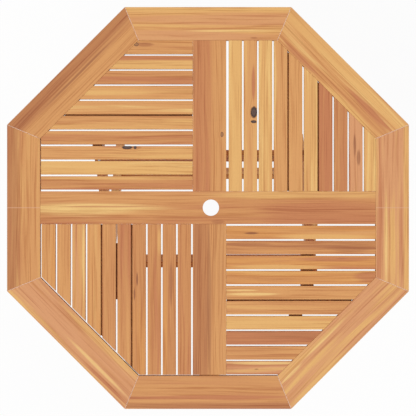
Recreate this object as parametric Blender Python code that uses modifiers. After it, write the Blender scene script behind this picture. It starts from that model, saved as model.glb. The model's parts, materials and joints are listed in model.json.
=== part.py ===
"""Folding garden table: an octagonal slatted top on crossed folding legs.

Metres, +Z up. The origin is on the ground under the middle of the top.
North is +Y and west is -X. The top is a mitred rim of eight boards with a cross
rail, two short rails and four fields of slats. The outer leg frame hangs on two
hinge brackets under the north side of the top, and the inner leg frame is bolted
to it where the legs cross. Its top ends bear on two rest blocks at the south side.
"""

import math

import bmesh
import bpy
from mathutils import Matrix, Vector

# The whole table
TABLE_WIDTH = 1.200            # across the flats of the octagon
TABLE_HEIGHT = 0.750
FIT_GAP = 0.0003               # between faces that touch

# The frame of the top
RIM_WIDTH = 0.099
RIM_THICKNESS = 0.024
CROSS_RAIL_WIDTH = 0.098
SHORT_RAIL_WIDTH = 0.100
CROSS_RAIL_Y = 0.001           # the cross rail lies a little off the middle
SHORT_RAIL_X = 0.0045          # and so do the two short rails
PARASOL_HOLE_DIAMETER = 0.049
PARASOL_HOLE_X = 0.0087

# Slats and the battens under them
SLAT_WIDTH = 0.040
SLAT_GAP = 0.005
WIDE_FIRST_GAP = 0.0073         # beside the north rail, in the north-east field
SLAT_THICKNESS = 0.018
NARROWEST_SLAT = 0.012         # less than this at the rim is left open
BATTEN_WIDTH = 0.040
BATTEN_THICKNESS = 0.020
BATTEN_LET_IN = 0.001          # how far a batten is let into its slats
BATTEN_END_GAP = 0.001         # a batten is cut this much short at each end

# Slats and rails end in a stub tongue, held in a groove
TONGUE_THICKNESS = 0.008
TONGUE_LENGTH = 0.010
SLAT_TONGUE_WIDTH = 0.010
RAIL_TONGUE_WIDTH = 0.060
GROOVE_FLOOR_GAP = 0.0005

# Open joints between the slats and the rim, where the top has them
WIDE_RIM_GAP = 0.004
MIDDLE_RIM_GAP = 0.003
NARROW_RIM_GAP = 0.0025

# Legs
FRAME_X = 0.007                # the leg frames' middle, a little east of the top's
LEG_WIDTH = 0.027
LEG_DEPTH = 0.055
LEG_ANGLE = math.radians(57.5)  # from the ground
LEG_SPACING = 0.001            # between an outer leg and the inner one beside it
OUTER_LEG_X = 0.338            # the middle of an outer leg, from the frames' middle
HINGE_Y = 0.195

# Bars of the leg frames, each with its wide face along the legs
OUTER_BAR_WIDTH = 0.040
OUTER_BAR_THICKNESS = 0.018
OUTER_BAR_DOWN = 0.010         # from the hinge axis, along the leg
INNER_TOP_BAR_WIDTH = 0.045
INNER_TOP_BAR_THICKNESS = 0.020
INNER_TOP_BAR_DOWN = 0.060
FOOT_BAR_WIDTH = 0.045
FOOT_BAR_THICKNESS = 0.020
FOOT_BAR_UP = 0.203            # from the ground end, along the leg

# Hinge brackets and scissor bolts
PLATE_THICKNESS = 0.003
PLATE_WIDTH = 0.040
PLATE_BELOW_PIN = 0.014
PIN_DIAMETER = 0.010
BOLT_DIAMETER = 0.010
BOLT_HEAD_DIAMETER = 0.020
BOLT_HEAD_THICKNESS = 0.004
FOLD_CLEARANCE = 0.001         # the outer bar swings this far under the brackets
ROUND_STEPS = 24
MERGE_DISTANCE = 0.00001       # points nearer than this are one

# Blocks under the top
REST_BLOCK_X = 0.291           # its middle, from the frames' middle
REST_BLOCK_WIDTH = 0.038
REST_BLOCK_NEAR_Y = 0.106
REST_BLOCK_LENGTH = 0.168
HINGE_CLEAT_LENGTH = 0.060
SLAT_CLEAT_X = 0.263
SLAT_CLEAT_WIDTH = 0.040
SLAT_CLEAT_LENGTH = 0.041

# What follows from them
RIM_INNER = TABLE_WIDTH / 2 - RIM_WIDTH
RIM_BOTTOM = TABLE_HEIGHT - RIM_THICKNESS
SLAT_BOTTOM = TABLE_HEIGHT - SLAT_THICKNESS
BATTEN_BOTTOM = SLAT_BOTTOM - BATTEN_THICKNESS
TONGUE_Z = TABLE_HEIGHT - SLAT_THICKNESS / 2
GROOVE_DEPTH = TONGUE_LENGTH + GROOVE_FLOOR_GAP
NORTH_EDGE = CROSS_RAIL_Y + CROSS_RAIL_WIDTH / 2
SOUTH_EDGE = CROSS_RAIL_Y - CROSS_RAIL_WIDTH / 2
WEST_EDGE = SHORT_RAIL_X - SHORT_RAIL_WIDTH / 2
EAST_EDGE = SHORT_RAIL_X + SHORT_RAIL_WIDTH / 2
LEG_RADIUS = LEG_DEPTH / 2
INNER_LEG_X = OUTER_LEG_X - LEG_WIDTH - LEG_SPACING
OUTER_BAR_OFFSET = LEG_RADIUS + FIT_GAP + OUTER_BAR_THICKNESS / 2
OUTER_BAR_SWING = math.hypot(OUTER_BAR_OFFSET + OUTER_BAR_THICKNESS / 2,
                             OUTER_BAR_WIDTH / 2 - OUTER_BAR_DOWN)
FLANGE_TOP = BATTEN_BOTTOM - FIT_GAP
HINGE_Z = FLANGE_TOP - PLATE_THICKNESS - FOLD_CLEARANCE - OUTER_BAR_SWING
CROSSING_Z = HINGE_Z - HINGE_Y * math.tan(LEG_ANGLE)
LEG_LENGTH = HINGE_Z / math.sin(LEG_ANGLE)

# Directions in the Y-Z plane: down each leg, and the leg's upper face
OUTER_DOWN = Vector((0, -math.cos(LEG_ANGLE), -math.sin(LEG_ANGLE)))
OUTER_UPPER = Vector((0, -math.sin(LEG_ANGLE), math.cos(LEG_ANGLE)))
INNER_DOWN = Vector((0, math.cos(LEG_ANGLE), -math.sin(LEG_ANGLE)))
INNER_UPPER = Vector((0, math.sin(LEG_ANGLE), math.cos(LEG_ANGLE)))
HINGE = Vector((FRAME_X, HINGE_Y, HINGE_Z))
CROSSING = Vector((FRAME_X, 0, CROSSING_Z))
INNER_TOP = Vector((FRAME_X, -HINGE_Y, HINGE_Z))

RIM_SIDES = ("east", "north_east", "north", "north_west",
             "west", "south_west", "south", "south_east")

# Each field: which way its slats run, its signs in X and Y, the two rail edges it
# starts from, the gap numbers that have a batten, and its open joints at the rim. Its
# first gap may be wider, its slats may have no tongue at some rim sides, and some
# battens end with their slats
FIELDS = {
    "nw": dict(along=0, signs=(-1, 1), edges=(WEST_EDGE, NORTH_EDGE), battens=(6,),
               rim_gaps={"west": NARROW_RIM_GAP}),
    "ne": dict(along=1, signs=(1, 1), edges=(EAST_EDGE, NORTH_EDGE), battens=(5, 7),
               rim_gaps={}, first_gap=WIDE_FIRST_GAP),
    "sw": dict(along=1, signs=(-1, -1), edges=(WEST_EDGE, SOUTH_EDGE), battens=(5, 7),
               rim_gaps={"west": WIDE_RIM_GAP, "south_west": WIDE_RIM_GAP,
                         "south": MIDDLE_RIM_GAP},
               bare_ends=("south_west", "south"), short_battens=(7,)),
    "se": dict(along=0, signs=(1, -1), edges=(EAST_EDGE, SOUTH_EDGE), battens=(6,),
               rim_gaps={"south": WIDE_RIM_GAP}),
}

for old in list(bpy.data.objects):
    bpy.data.objects.remove(old, do_unlink=True)

table = bpy.data.collections.new("folding_garden_table")
cutters = bpy.data.collections.new("cutters")
bpy.context.scene.collection.children.link(table)
bpy.context.scene.collection.children.link(cutters)


def linear(hex_colour):
    """An sRGB hex colour as linear RGBA."""
    channels = [int(hex_colour[i:i + 2], 16) / 255 for i in (0, 2, 4)]
    return [c / 12.92 if c <= 0.04045 else ((c + 0.055) / 1.055) ** 2.4
            for c in channels] + [1.0]


def material(name, hex_colour, roughness, metallic=0.0):
    mat = bpy.data.materials.new(name)
    mat.use_nodes = True
    shader = mat.node_tree.nodes["Principled BSDF"]
    shader.inputs["Base Color"].default_value = linear(hex_colour)
    shader.inputs["Roughness"].default_value = roughness
    shader.inputs["Metallic"].default_value = metallic
    return mat


HONEY = material("oiled_acacia_honey", "DCA265", 0.5)
GOLD = material("oiled_acacia_gold", "E9BE78", 0.5)
RUSSET = material("oiled_acacia_russet", "C6835A", 0.5)
TAN = material("oiled_acacia_tan", "D59A62", 0.5)
STEEL = material("zinc_plated_steel", "B9BBBD", 0.35, 1.0)


def add_object(name, mesh, mat, group=table):
    obj = bpy.data.objects.new(name, mesh)
    group.objects.link(obj)
    if mat is not None:
        mesh.materials.append(mat)
    return obj


def hide_cutter(obj):
    """Keep a cutter or a piece of a union out of the model."""
    for group in list(obj.users_collection):
        group.objects.unlink(obj)
    cutters.objects.link(obj)
    obj.hide_render = True
    obj.display_type = 'WIRE'
    return obj


def boolean(obj, other, operation):
    hide_cutter(other)
    modifier = obj.modifiers.new(other.name, 'BOOLEAN')
    modifier.operation = operation
    modifier.solver = 'EXACT'
    modifier.object = other


def rim_plane(side, distance):
    """A point and a normal of the plane beyond which a piece is cut at a rim side."""
    angle = math.radians(45) * RIM_SIDES.index(side)
    normal = Vector((math.cos(angle), math.sin(angle), 0))
    return normal * distance, normal


def board(name, low, high, mat, planes=()):
    """A box between two corners, cut off square or slanting at each plane."""
    low, high = Vector(low), Vector(high)
    size = high - low
    bm = bmesh.new()
    bmesh.ops.create_cube(bm, size=1)
    bmesh.ops.scale(bm, vec=size, verts=bm.verts)
    bmesh.ops.translate(bm, vec=(low + high) / 2, verts=bm.verts)
    for point, normal in planes:
        cut = bmesh.ops.bisect_plane(bm, geom=bm.verts[:] + bm.edges[:] + bm.faces[:],
                                     plane_co=point, plane_no=normal, clear_outer=True)
        edges = [e for e in cut["geom_cut"] if isinstance(e, bmesh.types.BMEdge)]
        if edges:
            bmesh.ops.edgeloop_fill(bm, edges=edges)
    bmesh.ops.recalc_face_normals(bm, faces=bm.faces)
    mesh = bpy.data.meshes.new(name)
    bm.to_mesh(mesh)
    bm.free()
    return add_object(name, mesh, mat)


def cylinder_x(name, radius, x_low, x_high, y, z, mat):
    """A round bar or bore along X."""
    bm = bmesh.new()
    bmesh.ops.create_cone(bm, cap_ends=True, segments=ROUND_STEPS,
                          radius1=radius, radius2=radius, depth=x_high - x_low)
    bmesh.ops.rotate(bm, verts=bm.verts, matrix=Matrix.Rotation(math.pi / 2, 3, 'Y'))
    bmesh.ops.translate(bm, vec=((x_low + x_high) / 2, y, z), verts=bm.verts)
    mesh = bpy.data.meshes.new(name)
    bm.to_mesh(mesh)
    bm.free()
    return add_object(name, mesh, mat)


def groove(obj, name, low, high, angle=0.0):
    """Cut a groove for the tongues, turned about the table's middle."""
    height = TONGUE_THICKNESS / 2 + FIT_GAP
    cutter = board(name, (*low, TONGUE_Z - height), (*high, TONGUE_Z + height), None)
    cutter.data.transform(Matrix.Rotation(angle, 4, 'Z'))
    boolean(obj, cutter, 'DIFFERENCE')


def rim_boards():
    """Eight boards, mitred to each other, each with a groove along its inner edge."""
    half = math.radians(22.5)
    for number, side in enumerate(RIM_SIDES):
        length = TABLE_WIDTH / 2
        mitres = []
        for sign in (-1, 1):
            normal = Vector((-math.sin(half), sign * math.cos(half), 0))
            mitres.append((normal * -FIT_GAP / 2, normal))
        rim = board("rim_" + side, (RIM_INNER, -length, RIM_BOTTOM),
                    (TABLE_WIDTH / 2, length, TABLE_HEIGHT), (HONEY, TAN)[number % 2], mitres)
        angle = math.radians(45) * number
        rim.data.transform(Matrix.Rotation(angle, 4, 'Z'))
        groove(rim, "groove_" + side, (RIM_INNER - RIM_WIDTH, -length),
               (RIM_INNER + GROOVE_DEPTH, length), angle)


def rails():
    """The cross rail from rim to rim, and a short rail from it to the rim each way."""
    half_tongue = RAIL_TONGUE_WIDTH / 2
    end = RIM_INNER - FIT_GAP
    tongue_end = RIM_INNER + TONGUE_LENGTH
    tongue_low = TONGUE_Z - TONGUE_THICKNESS / 2
    tongue_high = TONGUE_Z + TONGUE_THICKNESS / 2

    cross = board("cross_rail", (-end, SOUTH_EDGE, RIM_BOTTOM), (end, NORTH_EDGE, TABLE_HEIGHT), TAN)
    for name, low, high in (("north", NORTH_EDGE - GROOVE_DEPTH, NORTH_EDGE + CROSS_RAIL_WIDTH),
                            ("south", SOUTH_EDGE - CROSS_RAIL_WIDTH, SOUTH_EDGE + GROOVE_DEPTH)):
        groove(cross, "cross_rail_groove_" + name, (-TABLE_WIDTH, low), (TABLE_WIDTH, high))
    tongue = board("cross_rail_tongue", (-tongue_end, CROSS_RAIL_Y - half_tongue, tongue_low),
                   (tongue_end, CROSS_RAIL_Y + half_tongue, tongue_high), None)
    boolean(cross, tongue, 'UNION')
    bm = bmesh.new()
    bmesh.ops.create_cone(bm, cap_ends=True, segments=2 * ROUND_STEPS,
                          radius1=PARASOL_HOLE_DIAMETER / 2, radius2=PARASOL_HOLE_DIAMETER / 2,
                          depth=TABLE_HEIGHT)
    bmesh.ops.translate(bm, vec=(PARASOL_HOLE_X, CROSS_RAIL_Y, TABLE_HEIGHT), verts=bm.verts)
    mesh = bpy.data.meshes.new("parasol_hole")
    bm.to_mesh(mesh)
    bm.free()
    boolean(cross, add_object("parasol_hole", mesh, None), 'DIFFERENCE')

    for name, sign, edge, rim_gap in (("north", 1, NORTH_EDGE, FIT_GAP),
                                      ("south", -1, SOUTH_EDGE, MIDDLE_RIM_GAP)):
        ends = sorted((edge + sign * FIT_GAP, sign * (RIM_INNER - rim_gap)))
        rail = board(name + "_rail", (WEST_EDGE, ends[0], RIM_BOTTOM),
                     (EAST_EDGE, ends[1], TABLE_HEIGHT), HONEY)
        # The north rail holds slats on its west side, the south rail on its east side
        if sign > 0:
            sides = (WEST_EDGE - SHORT_RAIL_WIDTH, WEST_EDGE + GROOVE_DEPTH)
        else:
            sides = (EAST_EDGE - GROOVE_DEPTH, EAST_EDGE + SHORT_RAIL_WIDTH)
        groove(rail, name + "_rail_groove", (sides[0], -TABLE_WIDTH), (sides[1], TABLE_WIDTH))
        tongue_ends = sorted((edge - sign * TONGUE_LENGTH, sign * tongue_end))
        tongue = board(name + "_rail_tongue", (SHORT_RAIL_X - half_tongue, tongue_ends[0], tongue_low),
                       (SHORT_RAIL_X + half_tongue, tongue_ends[1], tongue_high), None)
        boolean(rail, tongue, 'UNION')


def field_box(field, along, across, z_range):
    """Corners of a box given from the field's own corner outwards."""
    axis = field["along"]
    low, high = [0, 0, z_range[0]], [0, 0, z_range[1]]
    for direction, span in ((axis, along), (1 - axis, across)):
        sign, edge = field["signs"][direction], field["edges"][direction]
        low[direction], high[direction] = sorted(edge + sign * s for s in span)
    return low, high


def field_planes(field, extra, open_joints=True, back=0):
    """The three rim sides that a field meets, each with its joint.

    A tongue reaches into the rim by its extra length, but not where ends are bare, and
    a batten ends a little further back.
    """
    planes = []
    x_sign, y_sign = field["signs"]
    x_side = "east" if x_sign > 0 else "west"
    y_side = "north" if y_sign > 0 else "south"
    for side in (x_side, y_side + "_" + x_side, y_side):
        gap = field["rim_gaps"].get(side, FIT_GAP) if open_joints else FIT_GAP
        reach = extra if extra else -gap - back
        if extra and side in field.get("bare_ends", ()):
            reach = -gap - extra
        planes.append(rim_plane(side, RIM_INNER + reach))
    return planes


def slat_spans(field):
    """The near and far edge of each slat, from the rail outwards."""
    across = 1 - field["along"]
    side = {(0, -1): "west", (0, 1): "east", (1, -1): "south", (1, 1): "north"}
    gap = field["rim_gaps"].get(side[(across, field["signs"][across])], FIT_GAP)
    room = RIM_INNER - gap - abs(field["edges"][across])
    pitch = SLAT_WIDTH + SLAT_GAP
    spans = []
    near = field.get("first_gap", SLAT_GAP)
    while room - near >= NARROWEST_SLAT:
        spans.append([near, near + SLAT_WIDTH])
        near += pitch
    spans[-1][1] = room
    return spans


def slat(name, field, span, mat):
    """One slat with a tongue at each end."""
    middle = (span[0] + span[1]) / 2
    reach = TABLE_WIDTH / 2
    low, high = field_box(field, (FIT_GAP, reach), span, (SLAT_BOTTOM, TABLE_HEIGHT))
    body = board(name, low, high, mat, field_planes(field, 0))
    low, high = field_box(field, (-TONGUE_LENGTH, reach),
                          (middle - SLAT_TONGUE_WIDTH / 2, middle + SLAT_TONGUE_WIDTH / 2),
                          (TONGUE_Z - TONGUE_THICKNESS / 2, TONGUE_Z + TONGUE_THICKNESS / 2))
    tongue = board(name + "_tongue", low, high, None, field_planes(field, TONGUE_LENGTH))
    boolean(body, tongue, 'UNION')
    return body


def slat_fields():
    """Four fields of slats. The two slats beside each batten are fixed to it for good."""
    tones = (RUSSET, GOLD, HONEY, TAN)
    for key, field in FIELDS.items():
        spans = slat_spans(field)
        number = 1
        while number <= len(spans):
            mat = tones[number % len(tones)]
            if number + 1 in field["battens"] and number < len(spans):
                name = f"{key}_slats_{number:02d}_{number + 1:02d}_on_batten"
                body = slat(name, field, spans[number - 1], mat)
                second = slat(f"{key}_slat_{number + 1:02d}", field, spans[number], None)
                boolean(body, second, 'UNION')
                middle = (spans[number - 1][1] + spans[number][0]) / 2
                low, high = field_box(field, (FIT_GAP + BATTEN_END_GAP, TABLE_WIDTH / 2),
                                      (middle - BATTEN_WIDTH / 2, middle + BATTEN_WIDTH / 2),
                                      (BATTEN_BOTTOM, SLAT_BOTTOM + BATTEN_LET_IN))
                short = number + 1 in field.get("short_battens", ())
                batten = board(f"{key}_batten_{number + 1:02d}", low, high, None,
                               field_planes(field, 0, open_joints=short, back=BATTEN_END_GAP))
                boolean(body, batten, 'UNION')
                number += 2
            else:
                slat(f"{key}_slat_{number:02d}", field, spans[number - 1], mat)
                number += 1


def joint_empty(name, place):
    """An empty on a joint's axis, which the frame's pieces hang from."""
    empty = bpy.data.objects.new(name, None)
    empty.location = place
    table.objects.link(empty)
    return empty


def hang(obj, empty):
    """Give a piece its frame's empty as parent and origin, where it stands."""
    obj.data.transform(Matrix.Translation(-empty.location))
    obj.parent = empty


def bore(obj, name, radius, place, x_low, x_high):
    """A round hole along X that its pin turns in."""
    clear = (radius + FIT_GAP) / math.cos(math.pi / ROUND_STEPS)
    cutter = cylinder_x(name, clear, x_low, x_high, place.y, place.z, None)
    boolean(obj, cutter, 'DIFFERENCE')
    return cutter


def leg(name, x, top, down, upper, mat):
    """A leg with a round top end and a foot cut level with the ground."""
    outline = []
    half_steps = ROUND_STEPS // 2
    for i in range(half_steps + 1):
        angle = math.pi * i / half_steps
        outline.append(top + upper * (LEG_RADIUS * math.cos(angle)) - down * (LEG_RADIUS * math.sin(angle)))
    for side in (-1, 1):
        edge = top + upper * (side * LEG_RADIUS)
        outline.append(edge + down * (edge.z / -down.z))
    curve = bpy.data.curves.new(name, 'CURVE')
    curve.dimensions = '2D'
    curve.fill_mode = 'BOTH'
    curve.extrude = LEG_WIDTH / 2
    spline = curve.splines.new('POLY')
    spline.points.add(len(outline) - 1)
    for point, place in zip(spline.points, outline):
        point.co = (place.y, place.z, 0, 1)
    spline.use_cyclic_u = True
    flat = add_object(name + "_outline", curve, None)
    # The outline's X and Y become the table's Y and Z
    flat.matrix_world = Matrix(((0, 0, 1, x), (1, 0, 0, 0), (0, 1, 0, 0), (0, 0, 0, 1)))
    depsgraph = bpy.context.evaluated_depsgraph_get()
    mesh = bpy.data.meshes.new_from_object(flat.evaluated_get(depsgraph))
    mesh.transform(flat.matrix_world)
    bpy.data.objects.remove(flat, do_unlink=True)
    bm = bmesh.new()
    bm.from_mesh(mesh)
    bmesh.ops.remove_doubles(bm, verts=bm.verts, dist=MERGE_DISTANCE)
    bmesh.ops.recalc_face_normals(bm, faces=bm.faces)
    bm.to_mesh(mesh)
    bm.free()
    mesh.name = name
    return add_object(name, mesh, mat)


def bar(name, centre, half_length, width, thickness, down, mat):
    """A bar along X, its wide face along the legs."""
    obj = board(name, (-half_length, -width / 2, -thickness / 2),
                (half_length, width / 2, thickness / 2), mat)
    obj.data.transform(Matrix.Rotation(math.atan2(down.z, down.y), 4, 'X'))
    obj.data.transform(Matrix.Translation(centre))
    return obj


def leg_frames():
    """The outer frame hangs from the hinge, the inner one turns where the legs cross."""
    outer = joint_empty("outer_leg_frame", HINGE)
    inner = joint_empty("inner_leg_frame", CROSSING)
    half = LEG_WIDTH / 2
    for side, sign in (("left", -1), ("right", 1)):
        outer_x = FRAME_X + sign * OUTER_LEG_X
        inner_x = FRAME_X + sign * INNER_LEG_X
        long_leg = leg("outer_leg_" + side, outer_x, HINGE, OUTER_DOWN, OUTER_UPPER, TAN)
        hinge_bore = bore(long_leg, "hinge_bore_" + side, PIN_DIAMETER / 2, HINGE,
                          outer_x - LEG_WIDTH, outer_x + LEG_WIDTH)
        outer_bore = bore(long_leg, "outer_scissor_bore_" + side, BOLT_DIAMETER / 2, CROSSING,
                          outer_x - LEG_WIDTH, outer_x + LEG_WIDTH)
        short_leg = leg("inner_leg_" + side, inner_x, INNER_TOP, INNER_DOWN, INNER_UPPER, HONEY)
        inner_bore = bore(short_leg, "inner_scissor_bore_" + side, BOLT_DIAMETER / 2, CROSSING,
                          inner_x - LEG_WIDTH, inner_x + LEG_WIDTH)
        for piece in (long_leg, hinge_bore, outer_bore):
            hang(piece, outer)
        for piece in (short_leg, inner_bore):
            hang(piece, inner)
        faces = sorted((inner_x - sign * (half + FIT_GAP), outer_x + sign * (half + FIT_GAP)))
        hang(scissor_bolt("scissor_bolt_" + side, faces), outer)

    centre = HINGE + OUTER_DOWN * OUTER_BAR_DOWN + OUTER_UPPER * OUTER_BAR_OFFSET
    hang(bar("outer_frame_top_bar", centre, OUTER_LEG_X + half, OUTER_BAR_WIDTH,
             OUTER_BAR_THICKNESS, OUTER_DOWN, HONEY), outer)
    reach = INNER_LEG_X - half - FIT_GAP
    hang(bar("inner_frame_top_bar", INNER_TOP + INNER_DOWN * INNER_TOP_BAR_DOWN, reach,
             INNER_TOP_BAR_WIDTH, INNER_TOP_BAR_THICKNESS, INNER_DOWN, TAN), inner)
    hang(bar("inner_frame_foot_bar", INNER_TOP + INNER_DOWN * (LEG_LENGTH - FOOT_BAR_UP), reach,
             FOOT_BAR_WIDTH, FOOT_BAR_THICKNESS, INNER_DOWN, HONEY), inner)


def scissor_bolt(name, faces):
    """A bolt along X with a flat round head and a like nut, turned from one profile."""
    low, high = faces
    shank, head = BOLT_DIAMETER / 2, BOLT_HEAD_DIAMETER / 2
    profile = [(0, high + BOLT_HEAD_THICKNESS), (head, high + BOLT_HEAD_THICKNESS), (head, high),
               (shank, high), (shank, low), (head, low),
               (head, low - BOLT_HEAD_THICKNESS), (0, low - BOLT_HEAD_THICKNESS)]
    bm = bmesh.new()
    verts = [bm.verts.new((r, 0, x)) for r, x in profile]
    for a, b in zip(verts, verts[1:]):
        bm.edges.new((a, b))
    mesh = bpy.data.meshes.new(name)
    bm.to_mesh(mesh)
    bm.free()
    obj = add_object(name, mesh, STEEL)
    turn = obj.modifiers.new("turned", 'SCREW')
    turn.steps = ROUND_STEPS
    turn.render_steps = ROUND_STEPS
    turn.use_merge_vertices = True
    turn.merge_threshold = MERGE_DISTANCE
    solid = bpy.data.meshes.new_from_object(obj.evaluated_get(bpy.context.evaluated_depsgraph_get()))
    obj.modifiers.clear()
    # The turning axis becomes the table's X through the crossing
    solid.transform(Matrix(((0, 0, 1, 0), (0, 1, 0, CROSSING.y), (-1, 0, 0, CROSSING.z), (0, 0, 0, 1))))
    obj.data = solid
    return obj


def hinge_brackets():
    """A steel angle outside each outer leg, with the pin that the leg turns on."""
    for side, sign in (("left", -1), ("right", 1)):
        leg_x = FRAME_X + sign * OUTER_LEG_X
        plate_near = leg_x + sign * (LEG_WIDTH / 2 + FIT_GAP)
        plate_far = plate_near + sign * PLATE_THICKNESS
        flange_end = leg_x - sign * LEG_WIDTH / 2
        xs = sorted((flange_end, plate_far))
        bracket = board("hinge_bracket_" + side,
                        (xs[0], HINGE_Y - PLATE_WIDTH / 2, HINGE_Z - PLATE_BELOW_PIN),
                        (xs[1], HINGE_Y + PLATE_WIDTH / 2, FLANGE_TOP), STEEL)
        # The angle is left when the room for the leg is cut out of a block
        xs = sorted((flange_end - sign * LEG_WIDTH, plate_near))
        room = board("hinge_room_" + side, (xs[0], HINGE_Y - PLATE_WIDTH, 0),
                     (xs[1], HINGE_Y + PLATE_WIDTH, FLANGE_TOP - PLATE_THICKNESS), None)
        boolean(bracket, room, 'DIFFERENCE')
        xs = sorted((leg_x - sign * (LEG_WIDTH / 2 - FIT_GAP), (plate_near + plate_far) / 2))
        pin = cylinder_x("hinge_pin_" + side, PIN_DIAMETER / 2, xs[0], xs[1], HINGE_Y, HINGE_Z, None)
        boolean(bracket, pin, 'UNION')


def blocks():
    """The rest blocks, the west hinge's cleat and a cleat across two slats."""
    top = SLAT_BOTTOM - FIT_GAP
    low_top = BATTEN_BOTTOM - FIT_GAP
    bottom = HINGE_Z + LEG_RADIUS + FIT_GAP
    pitch = SLAT_WIDTH + SLAT_GAP
    near_y = -REST_BLOCK_NEAR_Y
    far_y = near_y - REST_BLOCK_LENGTH

    # The left block is rebated over the outer of the two battens beside it
    xs = [FRAME_X - REST_BLOCK_X - REST_BLOCK_WIDTH / 2, FRAME_X - REST_BLOCK_X + REST_BLOCK_WIDTH / 2]
    batten_edge = WEST_EDGE - (FIELDS["sw"]["battens"][1] - 1) * pitch - SLAT_GAP / 2 + BATTEN_WIDTH / 2
    left = board("rest_block_left", (xs[0], far_y, bottom), (xs[1], near_y, top), HONEY)
    rebate = board("rest_block_rebate_left", (xs[0] - LEG_WIDTH, far_y - LEG_WIDTH, low_top),
                   (batten_edge + FIT_GAP, near_y + LEG_WIDTH, TABLE_HEIGHT), None)
    boolean(left, rebate, 'DIFFERENCE')

    # The right block runs on under the batten that crosses its far end
    xs = [FRAME_X + REST_BLOCK_X - REST_BLOCK_WIDTH / 2, FRAME_X + REST_BLOCK_X + REST_BLOCK_WIDTH / 2]
    batten_middle = SOUTH_EDGE - (FIELDS["se"]["battens"][0] - 1) * pitch - SLAT_GAP / 2
    batten_edge = batten_middle + BATTEN_WIDTH / 2
    right = board("rest_block_right", (xs[0], far_y, bottom), (xs[1], near_y, top), HONEY)
    rebate = board("rest_block_rebate_right", (xs[0] - LEG_WIDTH, far_y - LEG_WIDTH, low_top),
                   (xs[1] + LEG_WIDTH, batten_edge + FIT_GAP, TABLE_HEIGHT), None)
    boolean(right, rebate, 'DIFFERENCE')

    # The east hinge is screwed to a batten, the west one to this cleat
    x = FRAME_X - OUTER_LEG_X
    board("hinge_cleat_left", (x - LEG_WIDTH / 2, HINGE_Y - HINGE_CLEAT_LENGTH / 2, BATTEN_BOTTOM),
          (x + LEG_WIDTH / 2, HINGE_Y + HINGE_CLEAT_LENGTH / 2, top), TAN)
    near_y = batten_middle - BATTEN_WIDTH / 2 - FIT_GAP
    board("slat_cleat_right",
          (SLAT_CLEAT_X - SLAT_CLEAT_WIDTH / 2, near_y - SLAT_CLEAT_LENGTH, BATTEN_BOTTOM),
          (SLAT_CLEAT_X + SLAT_CLEAT_WIDTH / 2, near_y, top), TAN)


rim_boards()
rails()
slat_fields()
leg_frames()
hinge_brackets()
blocks()
print(len([o for o in table.objects if o.type != 'EMPTY']), "pieces")
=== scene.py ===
"""A folding garden table with an octagonal slatted top on crossed folding legs.

Metres, +Z up, north is +Y and west is -X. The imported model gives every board, leg and
block. This script gives them rounded edges and their wood, and adds the fittings.
"""

import json
import math

import bpy
from bpy.props import FloatProperty, FloatVectorProperty, PointerProperty
from mathutils import Euler, Matrix, Vector


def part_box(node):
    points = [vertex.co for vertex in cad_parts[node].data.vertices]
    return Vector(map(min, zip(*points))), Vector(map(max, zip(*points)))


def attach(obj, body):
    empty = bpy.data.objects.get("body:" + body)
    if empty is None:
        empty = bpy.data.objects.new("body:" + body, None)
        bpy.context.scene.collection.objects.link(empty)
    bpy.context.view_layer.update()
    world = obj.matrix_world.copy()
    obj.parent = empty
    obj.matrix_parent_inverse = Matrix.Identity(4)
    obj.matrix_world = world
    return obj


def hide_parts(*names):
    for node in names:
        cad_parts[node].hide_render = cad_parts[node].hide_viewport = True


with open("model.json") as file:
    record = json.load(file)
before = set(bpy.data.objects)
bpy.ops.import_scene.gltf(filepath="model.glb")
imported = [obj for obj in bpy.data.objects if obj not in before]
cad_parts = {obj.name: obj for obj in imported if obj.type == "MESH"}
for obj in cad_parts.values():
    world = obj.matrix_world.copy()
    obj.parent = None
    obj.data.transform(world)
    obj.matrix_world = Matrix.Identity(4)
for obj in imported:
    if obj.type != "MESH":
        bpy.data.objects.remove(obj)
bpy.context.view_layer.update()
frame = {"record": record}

bl_info = {
    "name": "Folding Garden Table",
    "version": (1, 0, 0),
    "blender": (4, 5, 0),
    "location": "3D View > Sidebar > Garden Table",
    "description": "Dresses an octagonal folding garden table in oiled wood and steel fittings",
    "category": "Object",
}

joints = {joint["name"]: joint for joint in frame["record"]["behaviour"]["joints"]}
HINGE = Vector(joints["leg_fold"]["pos_m"])
CROSSING = Vector(joints["scissor_pivot"]["pos_m"])
# Down the outer legs and down the inner legs
OUTER_DOWN = (CROSSING - HINGE).normalized()
INNER_DOWN = Vector((0, -OUTER_DOWN.y, OUTER_DOWN.z))

RIM_SIDES = ("east", "north_east", "north", "north_west",
             "west", "south_west", "south", "south_east")

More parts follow.
